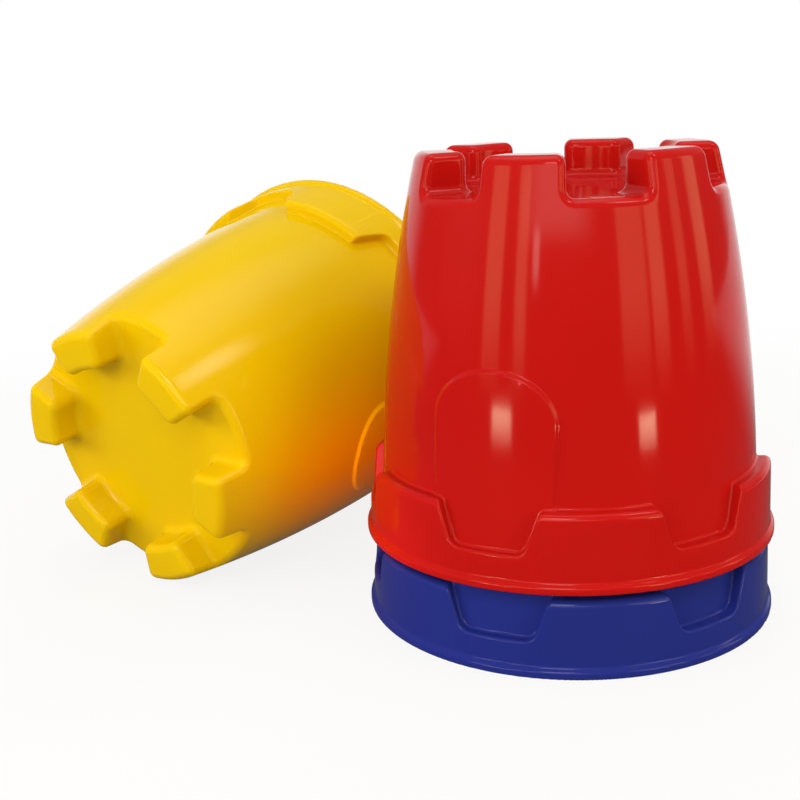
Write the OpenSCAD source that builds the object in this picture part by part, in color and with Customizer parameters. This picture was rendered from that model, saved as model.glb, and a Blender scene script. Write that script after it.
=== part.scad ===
// A set of castle sand moulds in millimetres: one stands mouth down, one is
// nested over it, and one lies on its side next to them. +Z is up, the front
// of the set faces -Y, and the set stands on z = 0.
// Each mould is one thin-walled moulding: a barrel-shaped tower, closed at the
// top by a roof inside a ring of hollow merlons, with a notched band at its
// foot, a lip around its mouth and a raised gate on its front.

/* [Rim and band] */
// Outer diameter of the lip around the mouth
rim_d = 150; // [140:1:170]
// Height of the lip
lip_h = 3; // [2:0.5:4]
// How far the lip stands out of the band
lip_out = 1.4; // [0.8:0.1:2]
// Height of the band's top edge above the mouth
band_h = 26.5; // [22:0.5:32]
// How far the band leans in from its foot to its top edge
band_lean = 0.6; // [0:0.1:1]
// Radius of the band's rounded top edge
band_round = 2.4; // [1:0.1:3]

/* [Tower] */
// How far the tower's foot stands in from the lip
foot_step = 7.1; // [6:0.1:9]
// How far the tower's side comes in from its foot to its top
taper = 15.6; // [12:0.1:20]
// Height of the whole mould
tower_h = 137; // [120:1:150]
// How far the tower's side bulges out of a straight line
bulge = 2.75; // [1:0.05:4]
// Thickness of the moulded wall
wall = 1.65; // [1.2:0.05:2]
// Radius of the rounded edge around the top
top_round = 1.6; // [0.6:0.1:2]

/* [Battlement] */
// Number of merlons around the top
merlon_count = 6; // [4:1:8]
// Height of a merlon above the roof
merlon_h = 13.6; // [9:0.2:18]
// Thickness of a merlon from the tower's side inwards
merlon_deep = 15; // [10:0.5:18]
// Part of the way round that is gaps between merlons
crenel_share = 0.48; // [0.3:0.01:0.6]
// Radius of the corners of the merlons and gaps
merlon_round = 3.2; // [1:0.1:4]
// Turn of the battlement against the gate, in degrees
crown_turn = 6; // [0:1:30]

/* [Gate and notches] */
// Width of the gate
gate_w = 43; // [30:0.5:50]
// Height of the top of the gate's arch above the mouth
gate_h = 70.5; // [58:0.5:90]
// Height of the arched part of the gate
gate_arch_h = 17; // [10:0.5:24]
// How far the gate stands out of the tower's side
gate_relief = 0.7; // [0.3:0.1:0.9]
// How much wider the gate's hollow is inside, so that turned moulds nest
gate_play = 3.2; // [1:0.1:4]
// Width of a band notch at the band's top edge
notch_w = 35.6; // [28:0.2:40]
// Width of a band notch at its sill
notch_sill_w = 25.6; // [18:0.2:28]
// Height of the notch sills above the mouth
notch_sill_h = 12; // [9:0.5:15]
// Radius of the corners of a notch
notch_round = 2.4; // [1:0.1:3]

/* [Set] */
// Gap between two nested moulds where they come closest
nest_gap = 0.35; // [0.2:0.05:0.6]
// Distance of the stack's axis from the set's centre, to the right
stack_x = 68.3; // [60:0.1:110]
// Distance of the stack's axis from the set's centre, to the back
stack_y = -47.7; // [-80:0.1:-20]
// Turn of the lower mould, in degrees
blue_turn = -26.9; // [-60:0.1:60]
// Turn of the nested mould, in degrees
red_turn = -29.3; // [-60:0.1:60]
// Gap between the lying mould and the way in which the nested mould lifts
lying_gap = 1; // [0.5:0.1:40]
// Direction from the stack's axis to the lying mould's mouth, left of the back
lying_bearing = 35.4; // [30:0.2:60]
// Direction in which the lying mould points, in degrees from the front
lying_heading = -37; // [-60:0.5:-30]
// Roll of the lying mould about its own axis, in degrees
lying_roll = 69.3; // [0:0.1:360]

/* [Hidden] */

// Fineness of circles, and steps along the tower's curve and round an edge
$fn = 96;
barrel_steps = 12;
edge_steps = 4;
// Overrun of every cut past the solid that it cuts
over = 1;

rim_r = rim_d / 2;
band_foot_r = rim_r - lip_out;
band_top_r = band_foot_r - band_lean;
foot_r = rim_r - foot_step;
top_r = foot_r - taper;
roof_z = tower_h - merlon_h;
notch_count = merlon_count;

// The pit inside the ring of merlons, and the angles of the ring
crown_r = top_r - merlon_deep;
merlon_step = 360 / merlon_count;
crenel_arc = merlon_step * crenel_share;

// The tower's side is an arc through the foot and the top, in the plane of
// radius and height. It stands off its chord by the bulge.
chord_dr = top_r - foot_r;
chord_dz = tower_h - band_h;
chord = sqrt(chord_dr * chord_dr + chord_dz * chord_dz);
arc_r = (chord * chord / 4 + bulge * bulge) / (2 * bulge);
arc_cr = (foot_r + top_r) / 2 - (arc_r - bulge) * chord_dz / chord;
arc_cz = (band_h + tower_h) / 2 + (arc_r - bulge) * chord_dr / chord;
function tower_r(z) = arc_cr + sqrt(arc_r * arc_r - (z - arc_cz) * (z - arc_cz));
function tower_z(r) = arc_cz + sqrt(arc_r * arc_r - (r - arc_cr) * (r - arc_cr));

// Behind the band the side runs on down as a straight skirt. It is the back
// of the notches, and leans a little more than the tower's foot does.
skirt_lean_share = 0.09;
function skirt_r(z) = foot_r + (band_h - z) * skirt_lean_share;

// A nested mould slides down until its side wedges over the tower below it, or
// over the raised gate where the two are turned past the play of their gates
gate_slip = abs(sin(red_turn - blue_turn)) * foot_r;
gate_lift = gate_slip + nest_gap < gate_play ? 0 : gate_relief;
wedge_r = foot_r - wall - nest_gap - gate_lift;
nest_rise = max(tower_z(wedge_r) - band_h, band_h + nest_gap);

// A lying mould rests on the band's rounded top edge and on the tower's
// bulge. The floor line touches both arcs, which gives its tilt and height.
edge_cr = band_top_r - band_round;
edge_cz = band_h - band_round;
tangent_dr = arc_cr - edge_cr;
tangent_dz = arc_cz - edge_cz;
tangent_d = sqrt(tangent_dr * tangent_dr + tangent_dz * tangent_dz);
lying_tilt = acos((arc_r - band_round) / tangent_d) + atan2(-tangent_dz, -tangent_dr);
lying_z = edge_cr * cos(lying_tilt) + edge_cz * sin(lying_tilt) + band_round;

// Where a point at the angle t of the mould's ring of radius r and height z
// lies on the plan, seen from the middle of the lying mould's mouth
function lying_plan(r, z, t) =
    let (x = r * cos(t), y = -r * sin(t) * sin(lying_tilt) - z * cos(lying_tilt))
    [x * cos(lying_heading) - y * sin(lying_heading),
     x * sin(lying_heading) + y * cos(lying_heading)];

// How far from the stack's axis the mouth's middle lies, for such a point to
// touch a column of radius column_r round the axis. It is 0 if it can't.
function column_reach(point, column_r) =
    let (along = point[0] * lying_way[0] + point[1] * lying_way[1],
         room = column_r * column_r - point * point + along * along)
    room < 0 ? 0 : sqrt(room) - along;

// The lying mould stays out of the column in which the nested mould lifts
lying_way = [-sin(lying_bearing), cos(lying_bearing)];
lying_rings = [[rim_r, 0], [rim_r, lip_h], [band_top_r, edge_cz], [foot_r, band_h],
    [tower_r(tower_h / 2), tower_h / 2]];
lying_away = max([for (ring = lying_rings) for (t = [0 : 360 / $fn : 360])
    column_reach(lying_plan(ring[0], ring[1], t), rim_r + lying_gap)]);

// Points of a quarter round in the plane of radius and height, from its side
// to its top
function round_points(cr, cz, r) =
    [for (i = [0 : edge_steps])
        let (a = 90 * i / edge_steps) [cr + r * cos(a), cz + r * sin(a)]];

// The tower with its skirt as a turned solid. grow moves its side outwards,
// and it runs from the height foot to the height top, where its edge is
// rounded by edge_r.
module tower_solid(grow, foot, top, edge_r) {
    z_end = top - edge_r;
    rotate_extrude()
        polygon(concat(
            [[0, foot], [skirt_r(foot) + grow, foot]],
            [for (i = [0 : barrel_steps])
                let (z = band_h + (z_end - band_h) * i / barrel_steps)
                [tower_r(z) + grow, z]],
            [for (i = [1 : edge_steps])
                let (a = 90 * i / edge_steps)
                [tower_r(z_end) + grow - edge_r * (1 - cos(a)), z_end + edge_r * sin(a)]],
            [[0, top]]));
}

// The band with its lip as a turned ring
module band_solid() {
    lip_round = lip_h / 4;
    rotate_extrude()
        polygon(concat(
            [[foot_r - wall, 0], [rim_r - lip_round, 0], [rim_r, lip_round],
             [rim_r, lip_h - lip_round], [band_foot_r, lip_h + lip_round]],
            round_points(edge_cr, edge_cz, band_round),
            [[foot_r - wall, band_h]]));
}

// The space behind the band, one wall inside it
module band_hollow() {
    corner = max(band_round - wall, wall / 4);
    rotate_extrude()
        polygon(concat(
            [[foot_r - wall * 2, -over], [band_foot_r - wall, -over],
             [band_foot_r - wall, lip_h]],
            round_points(band_top_r - wall - corner, band_h - wall - corner, corner),
            [[foot_r - wall * 2, band_h - wall]]));
}

// Stretches a flat outline, drawn with its height along Y, into a radial
// prism that points at the angle a, 0 being the front, from the radius r0.
module radial_prism(a, r0) {
    rotate([0, 0, a])
        translate([0, -r0, 0])
            rotate([90, 0, 0])
                linear_extrude(rim_r)
                    children();
}

// Points of a rounded corner with the centre x, y, from direction a0 to a1
function corner_points(x, y, r, a0, a1) =
    [for (i = [0 : edge_steps])
        let (a = a0 + (a1 - a0) * i / edge_steps) [x + r * cos(a), y + r * sin(a)]];

// Points of a rounded corner as above, whose last side runs on by its own length
function run_on(points) =
    concat(points, [points[len(points) - 1] * 2 - points[len(points) - 2]]);

// All that lies to the right of a merlon's side, which is at x = 0, seen from
// outside. The corners at the merlon's foot and top are rounded, and their
// last sides run on past the roof and the top, so that each cut is clean.
// grow moves the outline out by the wall where it shapes the inside.
module merlon_side(grow) {
    foot = merlon_round + grow;
    flare = max(merlon_round - grow, merlon_round / 8);
    foot_z = roof_z - grow;
    top_z = tower_h - grow;
    top_points = run_on(corner_points(-grow - flare, top_z - flare, flare, 0, 90));
    foot_points = run_on(corner_points(foot - grow, foot_z + foot, foot, 180, 270));
    polygon(concat(
        [for (i = [len(top_points) - 1 : -1 : 0]) top_points[i]],
        foot_points,
        [[foot_points[len(foot_points) - 1][0], foot_z - over],
         [rim_r, foot_z - over], [rim_r, tower_h + over],
         [top_points[len(top_points) - 1][0], tower_h + over]]));
}

// Outline of the arched gate, from below the mouth to the arch's top
module gate_outline(grow) {
    half = gate_w / 2 + grow;
    spring_z = gate_h - gate_arch_h;
    translate([-half, -over])
        square([half * 2, spring_z + over]);
    translate([0, spring_z])
        intersection() {
            polygon([for (i = [0 : barrel_steps * 2])
                let (a = 180 * i / (barrel_steps * 2))
                [half * cos(a), (gate_arch_h + grow) * sin(a)]]);
            translate([-half, 0])
                square([half * 2, gate_h]);
        }
}

// Outline of a band notch, grown by the wall where it shapes the inside.
// It opens upwards, and its sill corners are rounded.
module notch_outline(grow) {
    slope = (notch_w - notch_sill_w) / 2 / (band_h - notch_sill_h);
    sill_z = notch_sill_h - grow;
    top_z = band_h + over;
    corner = notch_round + grow;
    sill_half = notch_sill_w / 2 + grow - slope * grow;
    top_half = sill_half + slope * (top_z - sill_z);
    lift = corner * (1 - slope / 2);
    polygon([
        [-sill_half + corner, sill_z], [sill_half - corner, sill_z],
        [sill_half - corner * (1 - cos(45)) , sill_z + corner * (1 - sin(45))],
        [sill_half + slope * lift, sill_z + lift],
        [top_half, top_z], [-top_half, top_z],
        [-sill_half - slope * lift, sill_z + lift],
        [-sill_half + corner * (1 - cos(45)), sill_z + corner * (1 - sin(45))]]);
}

// The gap of the battlement between two merlons, with radial walls
module crenel(i, grow) {
    middle = crown_turn + merlon_step * (i + 1 / 2);
    intersection() {
        radial_prism(middle - crenel_arc / 2, crown_r / 2)
            merlon_side(grow);
        radial_prism(middle + crenel_arc / 2, crown_r / 2)
            scale([-1, 1])
                merlon_side(grow);
    }
}

// All that is cut out of the tower's top: the pit inside the ring of merlons
// and the gaps between them, down to the level roof
module crown_cut(grow) {
    intersection() {
        translate([0, 0, roof_z - grow])
            cylinder(r = rim_r, h = merlon_h + grow + over / 2);
        union() {
            translate([0, 0, roof_z - grow - over])
                cylinder(r = crown_r + grow, h = merlon_h + grow + over * 2);
            for (i = [0 : merlon_count - 1])
                crenel(i, grow);
        }
    }
}

// The notches of the band as radial cuts. The first is under the gate.
module notches(grow) {
    for (i = [0 : notch_count - 1])
        radial_prism(360 / notch_count * i, foot_r / 2)
            notch_outline(grow);
}

// The tower with its battlement. inset moves the tower's own faces in and the
// faces of the cuts out, by the wall.
module crowned_tower(inset, foot, edge_r) {
    difference() {
        tower_solid(-inset, foot, tower_h - inset, edge_r);
        crown_cut(inset);
    }
}

// The gate as a plate that follows the tower's side, from the mouth up
module gate_form(relief, foot, grow) {
    intersection() {
        tower_solid(relief, foot, gate_h + gate_arch_h, 0);
        radial_prism(0, foot_r / 2)
            gate_outline(grow);
    }
}

// Everything inside the mould's outer surface
module outer_form() {
    crowned_tower(0, 0, top_round);
    gate_form(gate_relief, 0, 0);
    difference() {
        band_solid();
        notches(0);
    }
}

// The hollow: the tower up to its roof with the pockets in the merlons, the
// hollow of the gate, and the space behind the band
module inner_form() {
    crowned_tower(wall, -over, top_round / 2);
    gate_form(gate_relief - wall, -over, gate_play);
    difference() {
        band_hollow();
        notches(wall);
    }
}

// One mould, standing mouth down with its gate at the front
module mould() {
    difference() {
        outer_form();
        inner_form();
    }
}

module blue_mould() {
    color([0.13, 0.15, 0.5])
        translate([stack_x, stack_y, 0])
            rotate([0, 0, blue_turn])
                mould();
}

module red_mould() {
    color([0.82, 0.1, 0.07])
        translate([stack_x, stack_y, nest_rise])
            rotate([0, 0, red_turn])
                mould();
}

module yellow_mould() {
    color([0.93, 0.76, 0.03])
        translate([stack_x + lying_away * lying_way[0], stack_y + lying_away * lying_way[1], lying_z])
            rotate([90 + lying_tilt, 0, lying_heading])
                rotate([0, 0, lying_roll])
                    mould();
}

blue_mould();
red_mould();
yellow_mould();
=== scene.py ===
# A set of castle sand moulds, as moulded in glossy plastic: a blue one stands
# mouth down, a red one is nested over it and a yellow one lies beside them.
import bpy
import numpy as np
from math import acos, atan2, cos, hypot, pi, radians, sin
from mathutils import Matrix, Vector


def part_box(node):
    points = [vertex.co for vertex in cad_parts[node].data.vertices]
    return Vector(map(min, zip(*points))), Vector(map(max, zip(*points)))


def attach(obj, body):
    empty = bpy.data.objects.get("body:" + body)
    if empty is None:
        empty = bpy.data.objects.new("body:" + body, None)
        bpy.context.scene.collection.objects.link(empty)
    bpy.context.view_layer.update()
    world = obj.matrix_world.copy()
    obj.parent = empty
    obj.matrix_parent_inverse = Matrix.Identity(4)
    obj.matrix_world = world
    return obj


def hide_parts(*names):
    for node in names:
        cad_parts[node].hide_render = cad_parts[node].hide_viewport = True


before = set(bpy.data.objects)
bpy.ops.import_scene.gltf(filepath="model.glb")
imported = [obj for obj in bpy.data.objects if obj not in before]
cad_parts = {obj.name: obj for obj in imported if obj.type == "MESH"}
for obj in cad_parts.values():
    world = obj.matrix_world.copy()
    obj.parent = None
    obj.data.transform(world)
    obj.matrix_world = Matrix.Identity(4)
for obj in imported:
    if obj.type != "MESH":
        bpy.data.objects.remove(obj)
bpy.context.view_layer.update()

# Blue mould. The lower one: one thin shell, injection-moulded in glossy
# polypropylene. A barrel-shaped tower with hollow merlons rises out of a notched
# band, which ends in a lip around the mouth. It stands mouth down on the floor.
MM = 0.001

# The lip around the mouth, in mm as all the sizes of a mould
RIM_R = 75.0
LIP_H = 3.0
LIP_ROUND = 1.25
LIP_FILLET = 1.2

# The band at the foot, with a notch in each sector of its upper edge
BAND_FOOT_R = 73.6
BAND_TOP_R = 73.0
BAND_H = 26.5
BAND_ROUND = 2.6
BAND_FILLET = 0.9
NOTCH_HALF = 17.8
NOTCH_SILL_HALF = 12.8
NOTCH_SILL_H = 12.0
NOTCH_CORNER = 3.0
NOTCH_ROUND = 1.0

# The tower, and the wall of the whole shell
FOOT_R = 67.9
TOP_R = 52.3
TOWER_H = 137.0
BULGE = 2.75
SKIRT_LEAN = 0.09
SIDE_ROUND = 2.9
WALL = 1.65
MOUTH_ROUND = 0.4

# The battlement, turned by CROWN_TURN degrees from the gate
MERLON_COUNT = 6
MERLON_H = 13.6
MERLON_DEEP = 15.0
MERLON_CORNER = 3.6
MERLON_ROUND = 3.2
ROOF_FILLET = 3.2
GAP_SHARE = 0.48
CROWN_TURN = 6.0

# The gate. Inside the shell it is wider and lower, so that the moulds nest
GATE_HALF = 21.5
GATE_H = 70.5
GATE_ARCH_H = 17.0
GATE_RELIEF = 1.0
GATE_EDGE = 1.4
GATE_PLAY = 3.2
GATE_HOLLOW = 0.5
GATE_REACH = pi / 3

ROOF_Z = TOWER_H - MERLON_H
CROWN_R = TOP_R - MERLON_DEEP
SECTOR = 2 * pi / MERLON_COUNT
NOTCH_SLOPE = (NOTCH_HALF - NOTCH_SILL_HALF) / (BAND_H - NOTCH_SILL_H)

# The tower's side is an arc in the plane of radius and height
CHORD = hypot(TOP_R - FOOT_R, TOWER_H - BAND_H)
ARC_R = (CHORD ** 2 / 4 + BULGE ** 2) / (2 * BULGE)
ARC_CR = (FOOT_R + TOP_R) / 2 - (ARC_R - BULGE) * (TOWER_H - BAND_H) / CHORD
ARC_CZ = (BAND_H + TOWER_H) / 2 + (ARC_R - BULGE) * (TOP_R - FOOT_R) / CHORD


def both(a, b, edge):
    """Distance to what two forms share, with its sharp corner rounded."""
    corner = np.hypot(np.maximum(a + edge, 0), np.maximum(b + edge, 0))
    return np.minimum(np.maximum(a, b), -edge) + corner


def either(a, b, edge):
    """Distance to two forms joined, with the corner between them filled."""
    corner = np.hypot(np.maximum(edge - a, 0), np.maximum(edge - b, 0))
    return np.maximum(np.minimum(a, b), edge) - corner


def folded(angle):
    """The angle from the middle of the nearest of the equal sectors."""
    return (angle + SECTOR / 2) % SECTOR - SECTOR / 2


def gate_rise(x, z, grow, relief):
    """How far the gate stands out of the tower's side, with soft edges."""
    tiny = 1e-6
    spring = GATE_H - GATE_ARCH_H
    half, rise = GATE_HALF + grow, GATE_ARCH_H + grow
    up = np.maximum(z - spring, 0) / rise
    across = x / half
    reach = np.hypot(across, up)
    slope = np.hypot(across / half, up / rise) / np.maximum(reach, tiny)
    edge = (1 - reach) / np.maximum(slope, tiny)
    share = np.clip(edge / GATE_EDGE + 0.5, 0, 1)
    return relief * share * share * (3 - 2 * share)


def tower_form(r, angle, z, grow, relief):
    """Distance to the tower with its battlement, and a gate widened by grow."""
    side = np.where(z > BAND_H,
                    np.hypot(r - ARC_CR, z - ARC_CZ) - ARC_R,
                    r - FOOT_R - (BAND_H - z) * SKIRT_LEAN)
    front = np.abs(angle) < GATE_REACH
    side = side - np.where(front, gate_rise(r * np.sin(angle), z, grow, relief), 0)
    gap = folded(angle - radians(CROWN_TURN) - SECTOR / 2)
    wall = r * np.sin(np.abs(gap) - SECTOR * GAP_SHARE / 2)
    merlon = both(CROWN_R - r, -wall, MERLON_CORNER)
    crown = either(z - ROOF_Z, merlon, ROOF_FILLET)
    crown = both(crown, z - TOWER_H, MERLON_ROUND)
    return both(crown, side, SIDE_ROUND)


def band_form(r, angle, z):
    """Distance to the notched band."""
    band = both(r - BAND_FOOT_R + z * (BAND_FOOT_R - BAND_TOP_R) / BAND_H,
                z - BAND_H, BAND_ROUND)
    across = np.abs(r * np.sin(folded(angle)))
    flank = (across - NOTCH_SILL_HALF - (z - NOTCH_SILL_H) * NOTCH_SLOPE) * cos(NOTCH_SLOPE)
    notch = both(flank, NOTCH_SILL_H - z, NOTCH_CORNER)
    return both(band, -notch, NOTCH_ROUND)


def mould_form(p):
    """Distance in mm to a whole mould that stands mouth down at the origin."""
    x, y, z = p
    r = np.hypot(x, y)
    angle = np.arctan2(x, -y)
    band = band_form(r, angle, z)
    lip = both(r - RIM_R, z - LIP_H, LIP_ROUND)
    tower = tower_form(r, angle, z, 0, GATE_RELIEF)
    hollow = tower_form(r, angle, z, GATE_PLAY, GATE_HOLLOW)
    outside = either(either(tower, band, BAND_FILLET), lip, LIP_FILLET)
    inside = either(hollow, band, BAND_FILLET) + WALL
    shell = both(outside, -inside, MOUTH_ROUND)
    return both(shell, -z, MOUTH_ROUND)


def on_surface(points, steps):
    """Moves points onto the mould's surface, and gives its normals there."""
    probe = 0.02
    least = 0.3
    stride = 1
    for _ in range(steps):
        here = mould_form(points.T)
        slope = np.stack([mould_form((points + probe * axis).T) - here
                          for axis in np.eye(3)], 1) / probe
        length = np.maximum((slope ** 2).sum(1), least)
        points = points - np.clip(here / length, -stride, stride)[:, None] * slope
    slope = np.stack([mould_form((points + probe * axis).T) - mould_form((points - probe * axis).T)
                      for axis in np.eye(3)], 1)
    return points, slope / np.linalg.norm(slope, axis=1)[:, None]


def mould_skin(cell):
    """Vertices and quads of the mould's surface, one vertex for each cell of a
    cubic lattice that the surface crosses. The lattice starts and ends outside
    the mould, at odd shares of a cell, so that no flat face falls on it."""
    before, beyond = 1.37, 1.5
    low = np.array([-RIM_R, -RIM_R, 0]) - cell * before
    high = np.array([RIM_R, RIM_R, TOWER_H]) + cell * beyond
    count = np.ceil((high - low) / cell).astype(int) + 1
    axes = [low[i] + cell * np.arange(count[i]) for i in range(3)]
    value = np.empty(count, np.float32)
    for i, x in enumerate(axes[0]):
        value[i] = mould_form(np.meshgrid(x, axes[1], axes[2], indexing="ij"))[0]
    solid = value < 0
    wide, deep, tall = count - 1
    corners = sum(solid[i:wide + i, j:deep + j, k:tall + k].astype(np.int8)
                  for i in (0, 1) for j in (0, 1) for k in (0, 1))
    crossed = (corners > 0) & (corners < 8)
    number = np.full(crossed.shape, -1, np.int32)
    number[crossed] = np.arange(crossed.sum())
    points = low + cell * (np.argwhere(crossed) + 0.5)
    quads = []
    for axis in range(3):
        start = [slice(0, n) for n in count]
        end = [slice(0, n) for n in count]
        start[axis], end[axis] = slice(0, count[axis] - 1), slice(1, count[axis])
        change = solid[tuple(start)].astype(np.int8) - solid[tuple(end)]
        one, two = (axis + 1) % 3, (axis + 2) % 3
        at = np.argwhere(change != 0)
        at = at[(at[:, one] > 0) & (at[:, two] > 0)]
        sign = change[tuple(at.T)]
        step_one, step_two = np.eye(3, dtype=int)[one], np.eye(3, dtype=int)[two]
        ring = [number[tuple((at - a * step_one - b * step_two).T)]
                for a, b in ((1, 1), (0, 1), (0, 0), (1, 0))]
        quad = np.stack(ring, 1)
        quad[sign < 0] = quad[sign < 0][:, ::-1]
        quads.append(quad)
    return points, np.vstack(quads)


def mould_mesh(cell, kept):
    """One mould as a mesh in metres, with the normals of its true surface. It
    is made of cells of the given size in mm, and a share kept of its faces."""
    points, quads = mould_skin(cell)
    points, _ = on_surface(points, steps=4)
    mesh = bpy.data.meshes.new("mould")
    mesh.from_pydata(points.tolist(), [], quads.tolist())
    piece = bpy.data.objects.new("mould", mesh)
    bpy.context.scene.collection.objects.link(piece)
    thin = piece.modifiers.new("thin", "DECIMATE")
    thin.ratio = kept
    lean = bpy.data.meshes.new_from_object(
        piece.evaluated_get(bpy.context.evaluated_depsgraph_get()))
    bpy.data.objects.remove(piece)
    bpy.data.meshes.remove(mesh)
    points = np.empty(len(lean.vertices) * 3)
    lean.vertices.foreach_get("co", points)
    points, normals = on_surface(points.reshape(-1, 3), steps=1)
    lean.vertices.foreach_set("co", (points * MM).ravel())
    lean.update()
    return lean, normals


MOULD, MOULD_NORMALS = mould_mesh(cell=0.65, kept=0.13)


def mould_piece(name, node, place, plastic):
    """A mould moved to its place, which stands for the node of that name."""
    mesh = MOULD.copy()
    mesh.name = name
    mesh.transform(place)
    mesh.polygons.foreach_set("use_smooth", [True] * len(mesh.polygons))
    turned = MOULD_NORMALS @ np.array(place.to_3x3()).T
    mesh.normals_split_custom_set_from_vertices(turned.tolist())
    mesh.materials.append(plastic)
    piece = bpy.data.objects.new(name, mesh)
    bpy.context.scene.collection.objects.link(piece)
    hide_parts(node)
    return piece


def stack_place(node, turn):
    """Upright on the node's own foot, turned about its axis by turn degrees."""
    low, high = (Vector(corner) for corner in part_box(node))
    foot = Vector(((low.x + high.x) / 2, (low.y + high.y) / 2, low.z))
    return Matrix.Translation(foot) @ Matrix.Rotation(radians(turn), 4, "Z")


class Flow:
    """A node socket that takes part in Python arithmetic."""

    def __init__(self, tree, socket):
        self.tree = tree
        self.socket = socket

    def node(self, kind, settings, **values):
        """A node with its settings, and a value or a link for each socket
        named by its label or, as in n6, by its number."""
        made = self.tree.nodes.new(kind)
        for key, value in settings.items():
            setattr(made, key, value)
        for key, value in values.items():
            numbered = key[0] == "n" and key[1:].isdigit()
            target = made.inputs[int(key[1:]) if numbered else key.replace("_", " ")]
            if isinstance(value, Flow):
                self.tree.links.new(value.socket, target)
            else:
                target.default_value = value
        return made

    def out(self, made, socket=0):
        """What comes out of a node that was made in the same tree."""
        return Flow(self.tree, made.outputs[socket])

    def into(self, target):
        """Links this value to an input."""
        self.tree.links.new(self.socket, target)

    def math(self, operation, one, two):
        """One Math node on two values."""
        return self.out(self.node("ShaderNodeMath", {"operation": operation}, n0=one, n1=two))

    def smooth(self, low, high):
        """0 below low and 1 above high, with a soft step between."""
        return self.out(self.node("ShaderNodeMapRange", {"interpolation_type": "SMOOTHSTEP"},
                                  Value=self, From_Min=low, From_Max=high))

    def mix(self, one, two):
        """From the first colour to the second as this value goes from 0 to 1."""
        return self.out(self.node("ShaderNodeMix", {"data_type": "RGBA"}, n0=self,
                                  n6=(*one, 1), n7=(*two, 1)), 2)

    def part(self, axis):
        """One coordinate of a vector."""
        return self.out(self.node("ShaderNodeSeparateXYZ", {}, n0=self), axis)

    def __add__(self, other):
        return self.math("ADD", self, other)

    def __radd__(self, other):
        return self.math("ADD", other, self)

    def __sub__(self, other):
        return self.math("SUBTRACT", self, other)

    def __rsub__(self, other):
        return self.math("SUBTRACT", other, self)

    def __mul__(self, other):
        return self.math("MULTIPLY", self, other)

    def __rmul__(self, other):
        return self.math("MULTIPLY", other, self)


# How fine the waves and the dust are, in swings to the metre, and how much of
# either shows in the roughness and in the height, which is in metres
WAVE_SCALE = 22.0
DUST_SCALE = 420.0
POLISH = 0.06
WEAR = 0.03
WAVE_DEPTH = 0.0006
WAVE_SHARE = 0.25
DUST_SHARE = 0.01
PLASTIC_IOR = 1.49
PLASTIC_SPECULAR = 0.16


def moulded_plastic(name, colour, shade):
    """Glossy coloured polypropylene with the faint waviness of a moulding and
    a little dust and handling in its gloss."""
    material = bpy.data.materials.new(name)
    material.use_nodes = True
    tree = material.node_tree
    shader = tree.nodes["Principled BSDF"]
    place = Flow(tree, tree.nodes.new("ShaderNodeTexCoord").outputs["Object"])
    waves = place.out(place.node("ShaderNodeTexNoise", {}, Vector=place,
                                 Scale=WAVE_SCALE, Detail=1.0))
    dust = place.out(place.node("ShaderNodeTexNoise", {}, Vector=place,
                                Scale=DUST_SCALE, Detail=2.0))
    waves.mix(colour, shade).into(shader.inputs["Base Color"])
    rough = POLISH + waves * WEAR + dust * WEAR
    rough.into(shader.inputs["Roughness"])
    bump = place.node("ShaderNodeBump", {}, Height=waves + dust * DUST_SHARE,
                      Strength=WAVE_SHARE, Distance=WAVE_DEPTH)
    place.out(bump).into(shader.inputs["Normal"])
    shader.inputs["IOR"].default_value = PLASTIC_IOR
    shader.inputs["Specular IOR Level"].default_value = PLASTIC_SPECULAR
    return material


BLUE = (0.019, 0.031, 0.27)
BLUE_SHADE = (0.015, 0.025, 0.23)
BLUE_TURN = -26.9
blue_plastic = moulded_plastic("blue_plastic", BLUE, BLUE_SHADE)
blue_mould = mould_piece("blue_mould_skin", "blue_mould",
                         stack_place("blue_mould", BLUE_TURN), blue_plastic)
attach(blue_mould, "blue")

# Red mould. The same moulding in red polypropylene, slid over the blue one until
# their walls wedge. Nothing fixes it, so it lifts straight off.
RED = (0.51, 0.008, 0.006)
RED_SHADE = (0.45, 0.006, 0.005)
RED_TURN = -29.3
red_plastic = moulded_plastic("red_plastic", RED, RED_SHADE)
red_mould = mould_piece("red_mould_skin", "red_mould",
                        stack_place("red_mould", RED_TURN), red_plastic)
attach(red_mould, "red")

# Yellow mould. The same moulding in yellow polypropylene. It lies loose on the
# floor on the edge of its band and on the bulge of its tower, with its closed
# end to the front left.
LYING_HEADING = -37.0
LYING_ROLL = 69.3

# The band's edge that it lies on is round, with this radius and middle
EDGE_ROUND = 2.4
EDGE_CR = BAND_TOP_R - EDGE_ROUND
EDGE_CZ = BAND_H - EDGE_ROUND
span = hypot(ARC_CR - EDGE_CR, ARC_CZ - EDGE_CZ)
lying_tilt = acos((ARC_R - EDGE_ROUND) / span) + atan2(EDGE_CZ - ARC_CZ, EDGE_CR - ARC_CR)
lying_turn = (Matrix.Rotation(radians(LYING_HEADING), 4, "Z")
              @ Matrix.Rotation(pi / 2 + lying_tilt, 4, "X")
              @ Matrix.Rotation(radians(LYING_ROLL), 4, "Z"))

# Its middle is the middle of the node's box
turned = [lying_turn @ vertex.co for vertex in MOULD.vertices]
low, high = (Vector(corner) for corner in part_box("yellow_mould"))
lying_place = Matrix.Translation([
    (low[i] + high[i] - min(spot[i] for spot in turned) - max(spot[i] for spot in turned)) / 2
    for i in range(3)]) @ lying_turn

YELLOW = (0.81, 0.555, 0.001)
YELLOW_SHADE = (0.77, 0.5, 0.001)
yellow_plastic = moulded_plastic("yellow_plastic", YELLOW, YELLOW_SHADE)
yellow_mould = mould_piece("yellow_mould_skin", "yellow_mould", lying_place, yellow_plastic)
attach(yellow_mould, "yellow")

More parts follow.
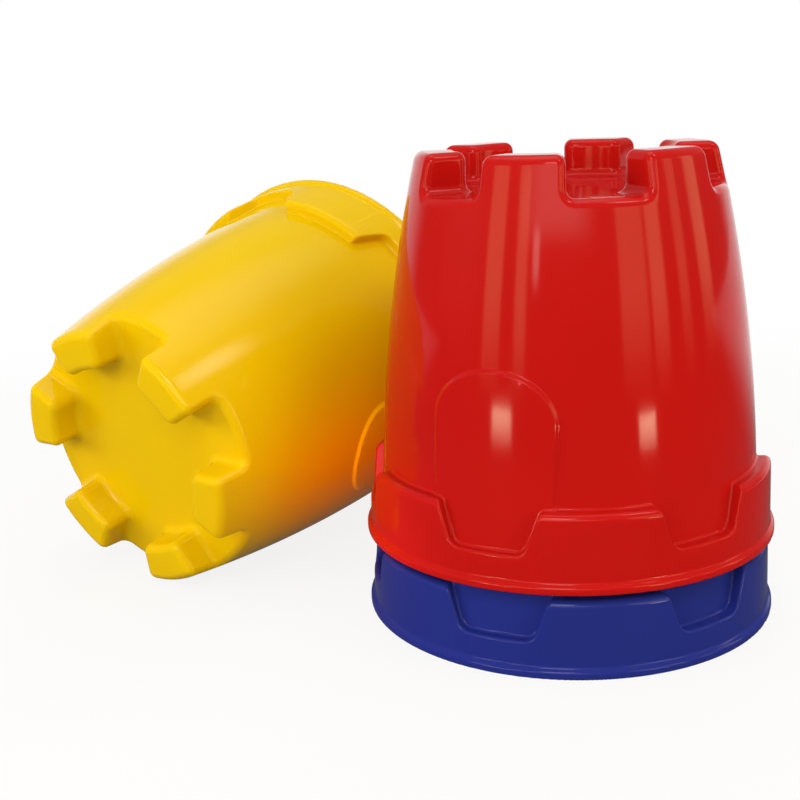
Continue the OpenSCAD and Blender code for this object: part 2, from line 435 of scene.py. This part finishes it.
# Floor. A plain sheet of white paper that keeps the soft shadow. It turns into
# plain white farther out, so that no edge or horizon shows.
BLACK = (0.0, 0.0, 0.0)
WHITE = (1.0, 1.0, 1.0)
PAPER = (0.75, 0.75, 0.75)
PAPER_ROUGH = 0.9
PAPER_SPECULAR = 0.1
FLOOR_HALF = 6.0

# In metres: how far out the paper turns into plain white, and how far back
# that white grows bright in reflections
PAPER_NEAR, PAPER_FAR = 0.25, 0.6
BACK_NEAR, BACK_FAR = 0.05, 0.4

# Shares of plain white in the paper: at least, more for the camera and more in
# reflections. The last value is how bright that white is in front of the set
VEIL = 0.65
VEIL_SEEN = 0.21
VEIL_MIRRORED = 0.3
FRONT_LEVEL = 0.1


def rays(tree, *kinds):
    """1 for rays of the given kinds, and 0 for all others."""
    path = tree.nodes.new("ShaderNodeLightPath")
    return sum(Flow(tree, path.outputs["Is %s Ray" % kind]) for kind in kinds)


def white_floor():
    """White paper near the set, which turns into plain white farther out. In
    reflections it is dim in front of the set and white behind it."""
    material = bpy.data.materials.new("white_paper")
    material.use_nodes = True
    tree = material.node_tree
    paper = tree.nodes["Principled BSDF"]
    paper.inputs["Base Color"].default_value = (*PAPER, 1)
    paper.inputs["Roughness"].default_value = PAPER_ROUGH
    paper.inputs["Specular IOR Level"].default_value = PAPER_SPECULAR
    place = Flow(tree, tree.nodes.new("ShaderNodeTexCoord").outputs["Object"])
    length = place.node("ShaderNodeVectorMath", {"operation": "LENGTH"}, n0=place)
    away = place.out(length, "Value").smooth(PAPER_NEAR, PAPER_FAR)
    behind = place.part("Y").smooth(BACK_NEAR, BACK_FAR)
    seen = rays(tree, "Camera")
    mirrored = rays(tree, "Glossy", "Transmission")
    veil = away + (1 - away) * (VEIL + seen * VEIL_SEEN + mirrored * VEIL_MIRRORED)
    level = FRONT_LEVEL + behind * (1 - FRONT_LEVEL)
    level = level + seen * (1 - level)
    glow = place.node("ShaderNodeEmission", {}, Color=level.mix(BLACK, WHITE), Strength=1.0)
    join = place.node("ShaderNodeMixShader", {}, n0=veil,
                      n1=Flow(tree, paper.outputs[0]), n2=place.out(glow))
    place.out(join).into(tree.nodes["Material Output"].inputs["Surface"])
    return material


floor_mesh = bpy.data.meshes.new("floor")
floor_mesh.from_pydata([(-FLOOR_HALF, -FLOOR_HALF, 0), (FLOOR_HALF, -FLOOR_HALF, 0),
                        (FLOOR_HALF, FLOOR_HALF, 0), (-FLOOR_HALF, FLOOR_HALF, 0)],
                       [], [(0, 1, 2, 3)])
floor_mesh.materials.append(white_floor())
floor = bpy.data.objects.new("floor", floor_mesh)
bpy.context.scene.collection.objects.link(floor)

# Room and lamps. A room that is white behind the set and dim in front of it,
# soft lamps around the set, and the windows, the door and the bright strips
# that give the highlights seen in the photograph.
HORIZON_LEVEL = 0.12
OVERHEAD_LEVEL = 0.32

# As parts of a direction: how far back the backdrop begins and is full, how
# high it begins to end and has ended, and the same for the room's own rise
BACKDROP_BACK = (0.5, 0.76)
BACKDROP_TOP = (0.15, 0.45)
ROOM_RISE = (0.05, 0.35)


def room():
    """Dim surroundings, a little brighter overhead, with a white backdrop
    behind the set. The camera itself sees white all round."""
    world = bpy.data.worlds.new("studio")
    world.use_nodes = True
    tree = world.node_tree
    way = Flow(tree, tree.nodes.new("ShaderNodeTexCoord").outputs["Generated"])
    up = way.part("Z")
    backdrop = way.part("Y").smooth(*BACKDROP_BACK) * (1 - up.smooth(*BACKDROP_TOP))
    seen = rays(tree, "Camera") + rays(tree, "Glossy", "Transmission") * backdrop
    level = HORIZON_LEVEL + up.smooth(*ROOM_RISE) * (OVERHEAD_LEVEL - HORIZON_LEVEL)
    level = level + seen * (1 - level)
    level.mix(BLACK, WHITE).into(tree.nodes["Background"].inputs["Color"])
    tree.nodes["Background"].inputs["Strength"].default_value = 1.0
    return world


bpy.context.scene.world = room()

stack_foot = stack_place("blue_mould", 0).to_translation()


def soft_box(name, spot, azimuth, elevation, distance, size, radiance, colour,
             soft=0.35, fade=0.35):
    """A rectangular lamp, seen from a spot (in mm from the stack's foot) in
    the given direction. The azimuth is 0 to the back and 90 to the right. The
    light falls off over the share soft of each half towards its sides and top,
    and over the share fade towards its foot."""
    lamp = bpy.data.lights.new(name, "AREA")
    lamp.shape = "RECTANGLE"
    lamp.size, lamp.size_y = size
    lamp.energy = radiance * pi * size[0] * size[1]
    lamp.color = colour
    lamp.use_nodes = True
    tree = lamp.node_tree
    face = Flow(tree, tree.nodes.new("ShaderNodeNewGeometry").outputs["Parametric"])
    across, up = face.part("X"), face.part("Y")
    lit = (across.smooth(0, soft / 2) * (1 - across.smooth(1 - soft / 2, 1))
           * up.smooth(0, fade / 2) * (1 - up.smooth(1 - soft / 2, 1)))
    lit.mix(BLACK, WHITE).into(tree.nodes["Emission"].inputs["Color"])
    way = Vector((sin(radians(azimuth)) * cos(radians(elevation)),
                  cos(radians(azimuth)) * cos(radians(elevation)), sin(radians(elevation))))
    holder = bpy.data.objects.new(name, lamp)
    holder.location = stack_foot + Vector(spot) * MM + way * distance
    holder.rotation_euler = (-way).to_track_quat("-Z", "Y").to_euler()
    bpy.context.scene.collection.objects.link(holder)
    return holder


WARM = (1.0, 0.93, 0.82)
SUNNY = (1.0, 0.9, 0.6)
AMBER = (1.0, 0.75, 0.38)
RED_BOUNCE = (1.0, 0.1, 0.04)
SET_MIDDLE = (-60, 0, 90)

# Each row gives name, spot, azimuth, elevation, distance, size, radiance,
# colour, soft and fade. First the lamps over the camera, in front and overhead
soft_box("key", SET_MIDDLE, -170, 44, 1.3, (0.42, 0.42), 8.8, WHITE)
soft_box("high_front", (-30, -30, 140), -168, 24, 1.1, (1.2, 0.42), 3.3, WARM, 0.8, 0.4)
soft_box("overhead", SET_MIDDLE, 0, 82, 1.2, (1.4, 1.4), 1.9, WHITE, 0.9, 0.9)

# Two windows and a door that the red mould mirrors, and a lamp that gives the
# highlight on the lying mould
soft_box("left_window", (-29, -60, 86), -134, -7.5, 0.45, (0.11, 0.06), 26.0, SUNNY, 0.2, 1.8)
soft_box("right_window", (17, -65, 81), 139.5, -8.5, 0.45, (0.095, 0.06), 26.0, SUNNY, 0.2, 1.8)
soft_box("door", (-17, -56, 135), -153, 12, 0.8, (0.06, 0.13), 8.0, WARM, 0.2, 1.0)
soft_box("high_right", (-133, -4, 90), 112, 56, 0.9, (0.3, 0.3), 9.0, WARM, 0.9, 0.9)

# Fills that don't mirror: left, right and behind, and a narrow red beam that
# stands for what the red mould throws onto the lying one
RED_SPREAD = radians(18)
left_fill = soft_box("left_fill", SET_MIDDLE, -100, 14, 1.1, (0.8, 0.5), 6.2, WHITE, 0.5, 0.5)
right_fill = soft_box("right_fill", (0, 0, 90), 98, 20, 1.1, (0.8, 0.6), 2.6, WARM, 0.5, 0.5)
red_bounce = soft_box("red_bounce", (-80, 26, 32), -172, -1, 0.3, (0.04, 0.06), 1.9, RED_BOUNCE)
red_bounce.data.spread = RED_SPREAD
back_fill = soft_box("back_fill", SET_MIDDLE, 12, 38, 1.2, (1.2, 0.9), 2.2, WHITE, 0.5, 0.5)
for fill in (left_fill, right_fill, back_fill, red_bounce):
    fill.visible_glossy = False

# Upright strips, which the red mould mirrors as streaks up its sides: all at
# one elevation, distance and height
LEFT_FLANK = (-29, -55, 122)
RIGHT_FLANK = (15, -60, 122)
STRIP_UP = 10
STRIP_FAR = 0.8
STRIP_H = 0.5
for number, (spot, azimuth, width, radiance) in enumerate((
        (LEFT_FLANK, -124.5, 0.19, 4.2),
        (LEFT_FLANK, -144.0, 0.12, 4.2),
        (RIGHT_FLANK, 144.5, 0.30, 3.2),
        (RIGHT_FLANK, 127.0, 0.17, 4.6),
        (RIGHT_FLANK, 107.0, 0.12, 2.4),
        (RIGHT_FLANK, 87.0, 0.18, 3.2))):
    soft_box("strip_%d" % number, spot, azimuth, STRIP_UP, STRIP_FAR, (width, STRIP_H),
             radiance, AMBER, 0.25, 0.9)

# Camera. The photograph's view, from a fit to the rims of the nested pair: the
# lens and the sensor in mm, the tilts in degrees, and the place in metres from
# the foot of that pair.
LENS = 54.75
SENSOR = 36
NEAR = 0.01
PITCH = 14.59
ROLL = -2.32
CAMERA_SPOT = (-0.06108, -0.433, 0.18976)
camera_data = bpy.data.cameras.new("camera")
camera_data.lens = LENS
camera_data.sensor_width = SENSOR
camera_data.clip_start = NEAR
camera = bpy.data.objects.new("camera", camera_data)
bpy.context.scene.collection.objects.link(camera)
ahead = Vector((0, cos(radians(PITCH)), -sin(radians(PITCH))))
above = Vector((0, sin(radians(PITCH)), cos(radians(PITCH))))
right = Vector((1, 0, 0)) * cos(radians(ROLL)) + above * sin(radians(ROLL))
above = right.cross(ahead)
turn = Matrix((right, above, -ahead)).transposed().to_4x4()
camera.matrix_world = Matrix.Translation(stack_foot + Vector(CAMERA_SPOT)) @ turn
bpy.context.scene.camera = camera
bpy.context.scene.view_settings.view_transform = "Standard"
